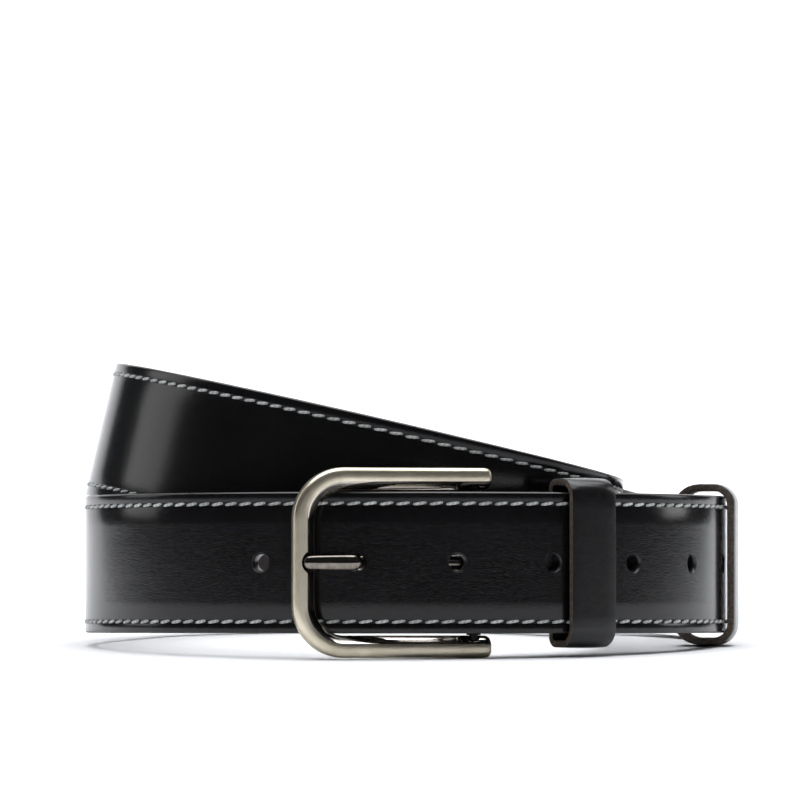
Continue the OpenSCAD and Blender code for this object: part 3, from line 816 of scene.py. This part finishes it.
# the eye: a flat ring, rounded at its edges, that turns on the heel bar
eye_in, eye_out, eye_w = HEEL_R + 0.08, HEEL_R + 1.45, 2.4
eye = [(eye_in, -eye_w + 0.2), (eye_in, eye_w - 0.2), (eye_in + 0.2, eye_w), (eye_out - 0.35, eye_w),
       (eye_out, eye_w - 0.35), (eye_out, -eye_w + 0.35), (eye_out - 0.35, -eye_w),
       (eye_in + 0.2, -eye_w), (eye_in, -eye_w + 0.2)]
lathe(bm, eye, BUCKLE, segments=32)
# the prong wears the darker copy of the polished nickel: painted shade
finish_mesh(bm, "prong_polished", [PRONG_NICKEL_PAINTED_SHADE], "prong", ["prong"])

# ---------------------------------------------------------------- keepers


def corner_points(r, z, radius, from_a):
    return [(r + radius * math.cos(math.radians(a)), z + radius * math.sin(math.radians(a)),
             a) for a in steps(from_a, from_a + 90, 11.25)]


def keeper_loop(r0, r1, h, in_r, out_r):
    """The keeper's inner outline as (radius, height, direction outwards in degrees), all the way round."""
    line = (corner_points(r1 - out_r, h - out_r, out_r, 0)
            + corner_points(r0 + in_r, h - in_r, in_r, 90)
            + corner_points(r0 + in_r, -h + in_r, in_r, 180)
            + corner_points(r1 - out_r, -h + out_r, out_r, 270))
    full = []
    for (ra, za, aa), (rb, zb, _) in zip(line, line[1:] + line[:1]):
        full.append((ra, za, aa))
        span = math.hypot(rb - ra, zb - za)
        pieces = int(span // 3)
        for i in range(1, pieces + 1):
            t = i / (pieces + 1)
            full.append((ra + (rb - ra) * t, za + (zb - za) * t, aa))
    return full


def keeper(name, middle_a, loop, body, node, open_back):
    """A leather band bent into its loop, raw at its cut edges, with a soft crown across its face."""
    half = KEEPER_W / 2
    edge = 0.28
    section = [(-half, edge), (-half + edge * 0.3, edge * 0.3), (-half + edge, 0.0), (-3.2, -0.1),
               (0.0, -0.14), (3.2, -0.1), (half - edge, 0.0), (half - edge * 0.3, edge * 0.3),
               (half, edge), (half, KEEPER_T - edge), (half - edge, KEEPER_T),
               (-half + edge, KEEPER_T), (-half, KEEPER_T - edge)]
    slots = [1, 0, 0, 0, 0, 0, 0, 1, 1, 1, 0, 1, 1]

    def ring(r, z, out_a):
        out = Vector((math.cos(math.radians(out_a)), math.sin(math.radians(out_a))))
        made = []
        for across, d in section:
            radius = r + out.x * (KEEPER_T - d)
            height = z + out.y * (KEEPER_T - d)
            p = polar(radius, middle_a + math.degrees(across / COIL_R))
            p.z = HALF_W + height
            made.append(STANDING @ p)
        return made

    bm = bmesh.new()
    if open_back:
        # starts and ends at the butt joint in the middle of the inner leg
        start = next(i for i, (r, z, a) in enumerate(loop) if a == 180 and z < 0 and i > 0
                     and loop[i - 1][1] >= 0)
        r0 = loop[start][0]
        order = [(r0, -0.15, 180)] + loop[start:] + loop[:start] + [(r0, 0.15, 180)]
        order = [p for i, p in enumerate(order) if i in (0, len(order) - 1)
                 or not (p[2] == 180 and abs(p[1]) < 0.4)]
        rings = [ring(*p) for p in order]
    else:
        rings = [ring(*p) for p in loop] + [ring(*loop[0])]
    along = [0.0]
    for a, b in zip(rings, rings[1:]):
        along.append(along[-1] + (b[4] - a[4]).length)
    first, last = sweep(bm, rings, along, [a * MM for a, d in section], slots)
    if open_back:
        cap(bm, first, 1)
        cap(bm, last, 1)
    else:
        bmesh.ops.remove_doubles(bm, verts=first + last, dist=0.000002)
    return finish_mesh(bm, name, [KEEPER, RAW], body, [node], sharp=30)


keeper("fixed_keeper_leather", FIXED_KEEPER_A,
       keeper_loop(MAIN_R - STRAP_T - 0.2, COIL_R + 0.9, HALF_W + 1.7, 1.2, 3.2),
       "strap", "fixed_keeper", False)
LOOSE_R0 = MAIN_R - STRAP_T - 4
keeper("loose_keeper_leather", LOOSE_KEEPER_A,
       keeper_loop(LOOSE_R0, COIL_R + 1.1, HALF_W + 1.2, 5, 3.6),
       "loose_keeper", "loose_keeper", True)

# The staple across the loose keeper's butt joint: round wire with its two corners bent
bm = bmesh.new()
wire_r, leg, reach = 0.35, 4.0, 2.2
line = [Vector((-KEEPER_T + reach, 0, leg)), Vector((-KEEPER_T + 0.3, 0, leg))]
line += [Vector((-KEEPER_T - wire_r + 0.5 - 0.5 * math.sin(math.radians(t)), 0,
                 leg - 0.5 + 0.5 * math.cos(math.radians(t)))) for t in steps(0, 90, 22.5)]
line = line + [Vector((p.x, p.y, -p.z)) for p in reversed(line)]
back = (STANDING @ Matrix.Rotation(math.radians(LOOSE_KEEPER_A), 4, "Z")
        @ Matrix.Translation((LOOSE_R0, 0, HALF_W)))
wire = []
for i, p in enumerate(line):
    ahead = (line[min(i + 1, len(line) - 1)] - line[max(i - 1, 0)]).normalized()
    sideways = Vector((0, 1, 0))
    other = ahead.cross(sideways)
    wire.append([back @ (p + (sideways * math.cos(a) + other * math.sin(a)) * wire_r)
                 for a in (2 * math.pi * k / 10 for k in range(10))])
first, last = sweep(bm, wire)
cap(bm, first)
cap(bm, last)
finish_mesh(bm, "keeper_staple_wire", [STEEL], "loose_keeper", ["keeper_staple"])

# ---------------------------------------------------------------- studio


def studio_paper():
    made, tree, shader = material("white_studio_paper")
    here = add(tree, "ShaderNodeTexCoord")
    tooth = add(tree, "ShaderNodeTexNoise", {"Scale": 60.0, "Detail": 4.0},
                {"Vector": here.outputs["Object"]})
    tone = ramp(tree, tooth.outputs[0], [(0.2, hex_colour("#f4f5f7")), (0.8, hex_colour("#f8f8f9"))])
    shader.inputs["Roughness"].default_value = 0.9
    shader.inputs["Specular IOR Level"].default_value = 0.0
    tree.links.new(tone.outputs[0], shader.inputs["Base Color"])
    return made


bm = bmesh.new()
profile = [Vector((-1.4, -3.0, 0)), Vector((-1.4, 1.2, 0))]
profile += [Vector((-1.4, 1.2 + 0.8 * math.sin(math.radians(t)), 0.8 - 0.8 * math.cos(math.radians(t))))
            for t in steps(0, 90, 10)[1:]]
profile.append(Vector((-1.4, 2.0, 3.0)))
verts = [bm.verts.new(p) for p in profile]
edges = [bm.edges.new((a, b)) for a, b in zip(verts, verts[1:])]
made = bmesh.ops.extrude_edge_only(bm, edges=edges)["geom"]
bmesh.ops.translate(bm, vec=(2.8, 0, 0), verts=[g for g in made if isinstance(g, bmesh.types.BMVert)])
sweep_paper = finish_mesh(bm, "studio_sweep", [studio_paper()], None)


def softbox(name, place, target, size, power, colour):
    light = bpy.data.lights.new(name, "AREA")
    light.shape = "RECTANGLE"
    light.size, light.size_y = size
    light.energy = power
    light.color = hex_colour(colour)[:3]
    lamp = bpy.data.objects.new(name, light)
    lamp.location = place
    lamp.rotation_mode = "QUATERNION"
    lamp.rotation_quaternion = (Vector(target) - Vector(place)).to_track_quat("-Z", "Y")
    bpy.context.scene.collection.objects.link(lamp)


softbox("overhead_softbox", (0.0, 0.1, 1.9), (0, 0, 0), (2.4, 2.4), 62, "#fbfcff")
softbox("left_softbox", (-1.8, 0.6, 0.8), (0, 0, 0.03), (0.7, 1.3), 4.5, "#ffffff")
softbox("right_softbox", (1.8, 0.7, 0.8), (0, 0, 0.03), (0.5, 1.3), 6, "#ffffff")
softbox("backdrop_light", (0.0, 0.3, 1.6), (0, 2.0, 0.8), (2.5, 0.6), 36, "#ffffff")

world = bpy.data.worlds.new("studio_room")
bpy.context.scene.world = world
world.use_nodes = True
world.node_tree.nodes["Background"].inputs[0].default_value = hex_colour("#dfe4ea")
world.node_tree.nodes["Background"].inputs[1].default_value = 0.05

camera_data = bpy.data.cameras.new("camera")
camera_data.lens = 340.6
camera_data.sensor_width = 36
camera_data.clip_end = 20
camera = bpy.data.objects.new("camera", camera_data)
camera.location = (-0.0015, -1.9423, 0.0927)
camera.rotation_euler = (math.radians(89.12), 0, math.radians(0.038))
bpy.context.scene.collection.objects.link(camera)
bpy.context.scene.camera = camera
bpy.context.scene.view_settings.view_transform = "Standard"
